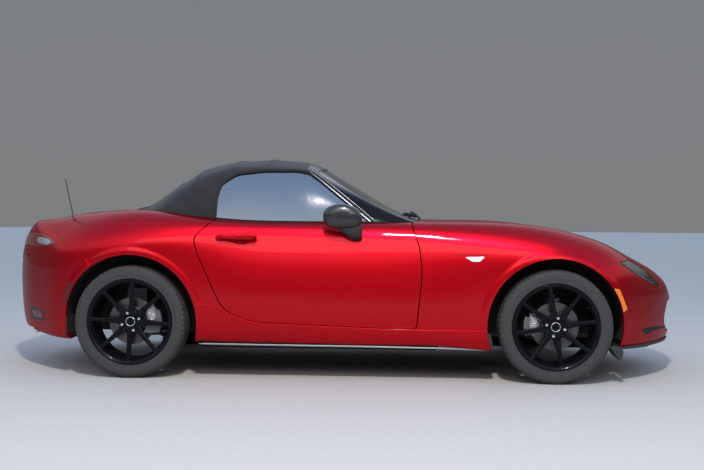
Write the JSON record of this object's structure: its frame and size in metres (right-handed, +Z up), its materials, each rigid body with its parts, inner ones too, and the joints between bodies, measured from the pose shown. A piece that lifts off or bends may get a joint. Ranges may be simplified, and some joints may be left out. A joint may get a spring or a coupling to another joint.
{
  "type": "convertible car",
  "caption": "Small two-seat convertible car with long bonnet, raised fabric roof, opening doors and lids, steered front wheels and spoked road wheels",
  "frame": {"origin": "on the ground under the middle of the body's length, on the centre line", "axes": "+X forward, +Y to the car's left, +Z up"},
  "size_m": [3.9164, 1.81, 1.2278],
  "materials": {
    "paint": "gloss",
    "black_plastic": "satin",
    "gloss_black": "gloss",
    "cloth": "woven",
    "seat_fabric": "woven",
    "glass": "tinted",
    "lamp_glass": "clear",
    "lamp_red": "clear red",
    "tyre": "matte",
    "rim_black": "gloss",
    "steel": "satin",
    "cast": "rough",
    "alloy": "satin"
  },
  "bodies": {
    "chassis": {"front_wings": "paint", "rear_quarters": "paint", "sills": "paint", "front_bumper": "paint", "rear_bumper": "paint", "headlamp_lenses": "lamp_glass", "headlamp_housings": "black_plastic", "tail_lamps": "lamp_red", "grille": "black_plastic", "chin_lip": "black_plastic", "windscreen_frame": "gloss_black", "windscreen": "glass", "soft_top": "cloth", "rear_window": "glass", "cabin_tub": "paint", "arch_liners": "black_plastic", "dashboard": "black_plastic", "seats": "seat_fabric", "boot_tub": "black_plastic", "engine": "alloy", "driveline": "alloy", "radiator": "alloy", "fuel_tank": "black_plastic", "exhaust": "steel", "front_suspension": "cast", "rear_suspension": "cast", "antenna": "black_plastic"},
    "right_door": {"door_right": "paint", "door_glass_right": "glass", "mirror_right": "black_plastic"},
    "left_door": {"door_left": "paint", "door_glass_left": "glass", "mirror_left": "black_plastic"},
    "bonnet_panel": {"bonnet": "paint"},
    "boot_panel": {"boot_lid": "paint"},
    "steering": {"steering_wheel": "black_plastic"},
    "right_knuckle": {"knuckle_right": "cast"},
    "left_knuckle": {"knuckle_left": "cast"},
    "wheel_front_right": {"tyre_front_right": "tyre", "rim_front_right": "rim_black"},
    "wheel_front_left": {"tyre_front_left": "tyre", "rim_front_left": "rim_black"},
    "wheel_rear_right": {"tyre_rear_right": "tyre", "rim_rear_right": "rim_black"},
    "wheel_rear_left": {"tyre_rear_left": "tyre", "rim_rear_left": "rim_black"}
  },
  "joints": [
    {"name": "right_door_hinge", "type": "hinge", "parent": "chassis", "child": "right_door", "pos_m": [0.4785, -0.852, 0.5], "axis": [0, 0, 1], "range_deg": [0, 65]},
    {"name": "left_door_hinge", "type": "hinge", "parent": "chassis", "child": "left_door", "pos_m": [0.4785, 0.852, 0.5], "axis": [0, 0, -1], "range_deg": [0, 65]},
    {"name": "bonnet_hinge", "type": "hinge", "parent": "chassis", "child": "bonnet_panel", "pos_m": [0.447, 0, 0.866], "axis": [0, -1, 0], "range_deg": [0, 50]},
    {"name": "boot_hinge", "type": "hinge", "parent": "chassis", "child": "boot_panel", "pos_m": [-1.324, 0, 0.908], "axis": [0, 1, 0], "range_deg": [0, 70]},
    {"name": "steer_left", "type": "hinge", "parent": "chassis", "child": "left_knuckle", "pos_m": [1.2025, 0.69, 0.308], "axis": [0, 0, 1], "range_deg": [-32, 32]},
    {"name": "steer_right", "type": "hinge", "parent": "chassis", "child": "right_knuckle", "pos_m": [1.2025, -0.69, 0.308], "axis": [0, 0, 1], "range_deg": [-32, 32]},
    {"name": "steering_column", "type": "hinge", "parent": "chassis", "child": "steering", "pos_m": [0.04, 0.37, 0.735], "axis": [-0.9135, 0, 0.4067], "range_deg": [-480, 480]},
    {"name": "spin_front_right", "type": "hinge", "parent": "right_knuckle", "child": "wheel_front_right", "pos_m": [1.2025, -0.748, 0.308], "axis": [0, 1, 0], "continuous": true},
    {"name": "spin_front_left", "type": "hinge", "parent": "left_knuckle", "child": "wheel_front_left", "pos_m": [1.2025, 0.748, 0.308], "axis": [0, 1, 0], "continuous": true},
    {"name": "spin_rear_right", "type": "hinge", "parent": "chassis", "child": "wheel_rear_right", "pos_m": [-1.1075, -0.7515, 0.308], "axis": [0, 1, 0], "continuous": true},
    {"name": "spin_rear_left", "type": "hinge", "parent": "chassis", "child": "wheel_rear_left", "pos_m": [-1.1075, 0.7515, 0.308], "axis": [0, 1, 0], "continuous": true}
  ],
  "couplings": [
    {"joint": "steer_right", "follows": "steer_left", "ratio": 1},
    {"joint": "steering_column", "follows": "steer_left", "ratio": 15}
  ]
}
